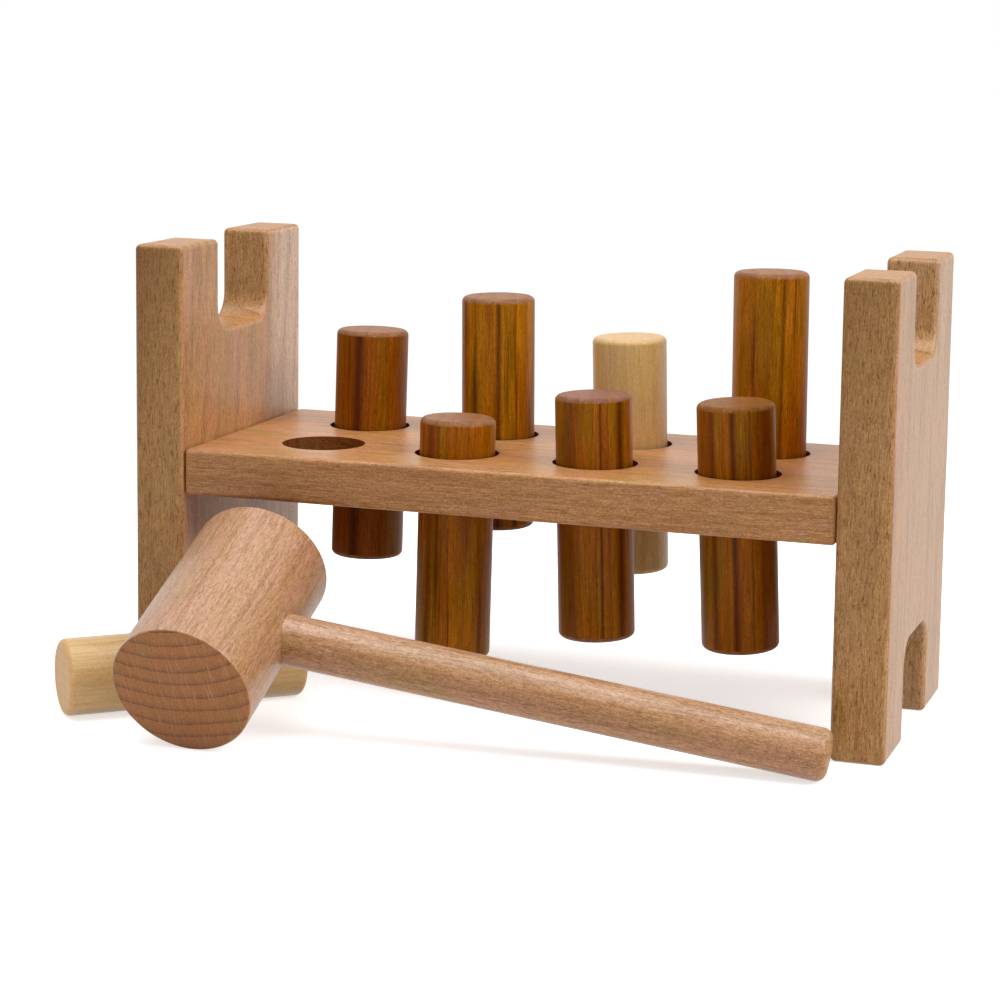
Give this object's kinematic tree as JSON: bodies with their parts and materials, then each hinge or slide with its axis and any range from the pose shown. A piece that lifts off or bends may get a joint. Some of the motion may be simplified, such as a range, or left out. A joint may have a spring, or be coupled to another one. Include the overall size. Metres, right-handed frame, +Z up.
{
  "type": "peg pounding bench",
  "caption": "Wooden pounding toy: a drilled shelf between notched end panels, round pegs gripped in its holes, and a mallet to drive them.",
  "frame": {"origin": "middle of the whole set's footprint, on the surface it stands on", "axes": "+X along the bench to the right, +Y from the front to the back, +Z up"},
  "size_m": [0.2788, 0.1818, 0.156],
  "materials": {
    "beech_panel": "sanded beech, waxed, grain upright",
    "beech_shelf": "sanded beech, waxed, grain along the length",
    "birch_dowel": "bare birch, glued in, hidden",
    "rubber_ring": "soft black rubber, matt",
    "dark_peg": "turned dark hardwood, oiled",
    "pale_peg": "turned maple, oiled",
    "beech_head": "turned beech, waxed",
    "beech_handle": "beech rod, waxed"
  },
  "bodies": {
    "bench": {"left_panel": "beech_panel", "right_panel": "beech_panel", "shelf": "beech_shelf", "dowel_left_front": "birch_dowel", "dowel_left_back": "birch_dowel", "dowel_right_front": "birch_dowel", "dowel_right_back": "birch_dowel", "ring_front_1": "rubber_ring", "ring_front_2": "rubber_ring", "ring_front_3": "rubber_ring", "ring_front_4": "rubber_ring", "ring_back_1": "rubber_ring", "ring_back_2": "rubber_ring", "ring_back_3": "rubber_ring", "ring_back_4": "rubber_ring"},
    "peg back 1": {"peg_back_1": "dark_peg"},
    "peg back 2": {"peg_back_2": "dark_peg"},
    "peg back 3": {"peg_back_3": "pale_peg"},
    "peg back 4": {"peg_back_4": "dark_peg"},
    "peg front 2": {"peg_front_2": "dark_peg"},
    "peg front 3": {"peg_front_3": "dark_peg"},
    "peg front 4": {"peg_front_4": "dark_peg"},
    "mallet": {"mallet_head": "beech_head", "mallet_handle": "beech_handle"},
    "lying peg": {"lying_peg": "pale_peg"}
  },
  "joints": [
    {"name": "peg_back_1_slide", "type": "slide", "parent": "bench", "child": "peg back 1", "axis": [0.014, 0.0209, 0.9997], "range_m": [-0.03528, 0.03173]},
    {"name": "peg_back_2_slide", "type": "slide", "parent": "bench", "child": "peg back 2", "axis": [-0.0079, -0.0087, 0.9999], "range_m": [-0.04988, 0.01712]},
    {"name": "peg_back_3_slide", "type": "slide", "parent": "bench", "child": "peg back 3", "axis": [-0.0279, -0.0052, 0.9996], "range_m": [-0.03801, 0.02899]},
    {"name": "peg_back_4_slide", "type": "slide", "parent": "bench", "child": "peg back 4", "axis": [-0.0087, 0.007, 0.9999], "range_m": [-0.06308, 0.00392]},
    {"name": "peg_front_2_slide", "type": "slide", "parent": "bench", "child": "peg front 2", "axis": [0.0122, 0.014, 0.9998], "range_m": [-0.01237, 0.05463]},
    {"name": "peg_front_3_slide", "type": "slide", "parent": "bench", "child": "peg front 3", "axis": [-0.0332, 0.0017, 0.9994], "range_m": [-0.02349, 0.04351]},
    {"name": "peg_front_4_slide", "type": "slide", "parent": "bench", "child": "peg front 4", "axis": [-0.0401, -0.0209, 0.999], "range_m": [-0.02382, 0.04318]},
    {"name": "mallet_lift", "type": "slide", "parent": "bench", "child": "mallet", "axis": [0, -0.342, 0.9397], "range_m": [0, 0.2]},
    {"name": "lying_peg_slide", "type": "slide", "parent": "bench", "child": "lying peg", "axis": [-0.7501, -0.6613, 0], "range_m": [0, 0.12]}
  ]
}
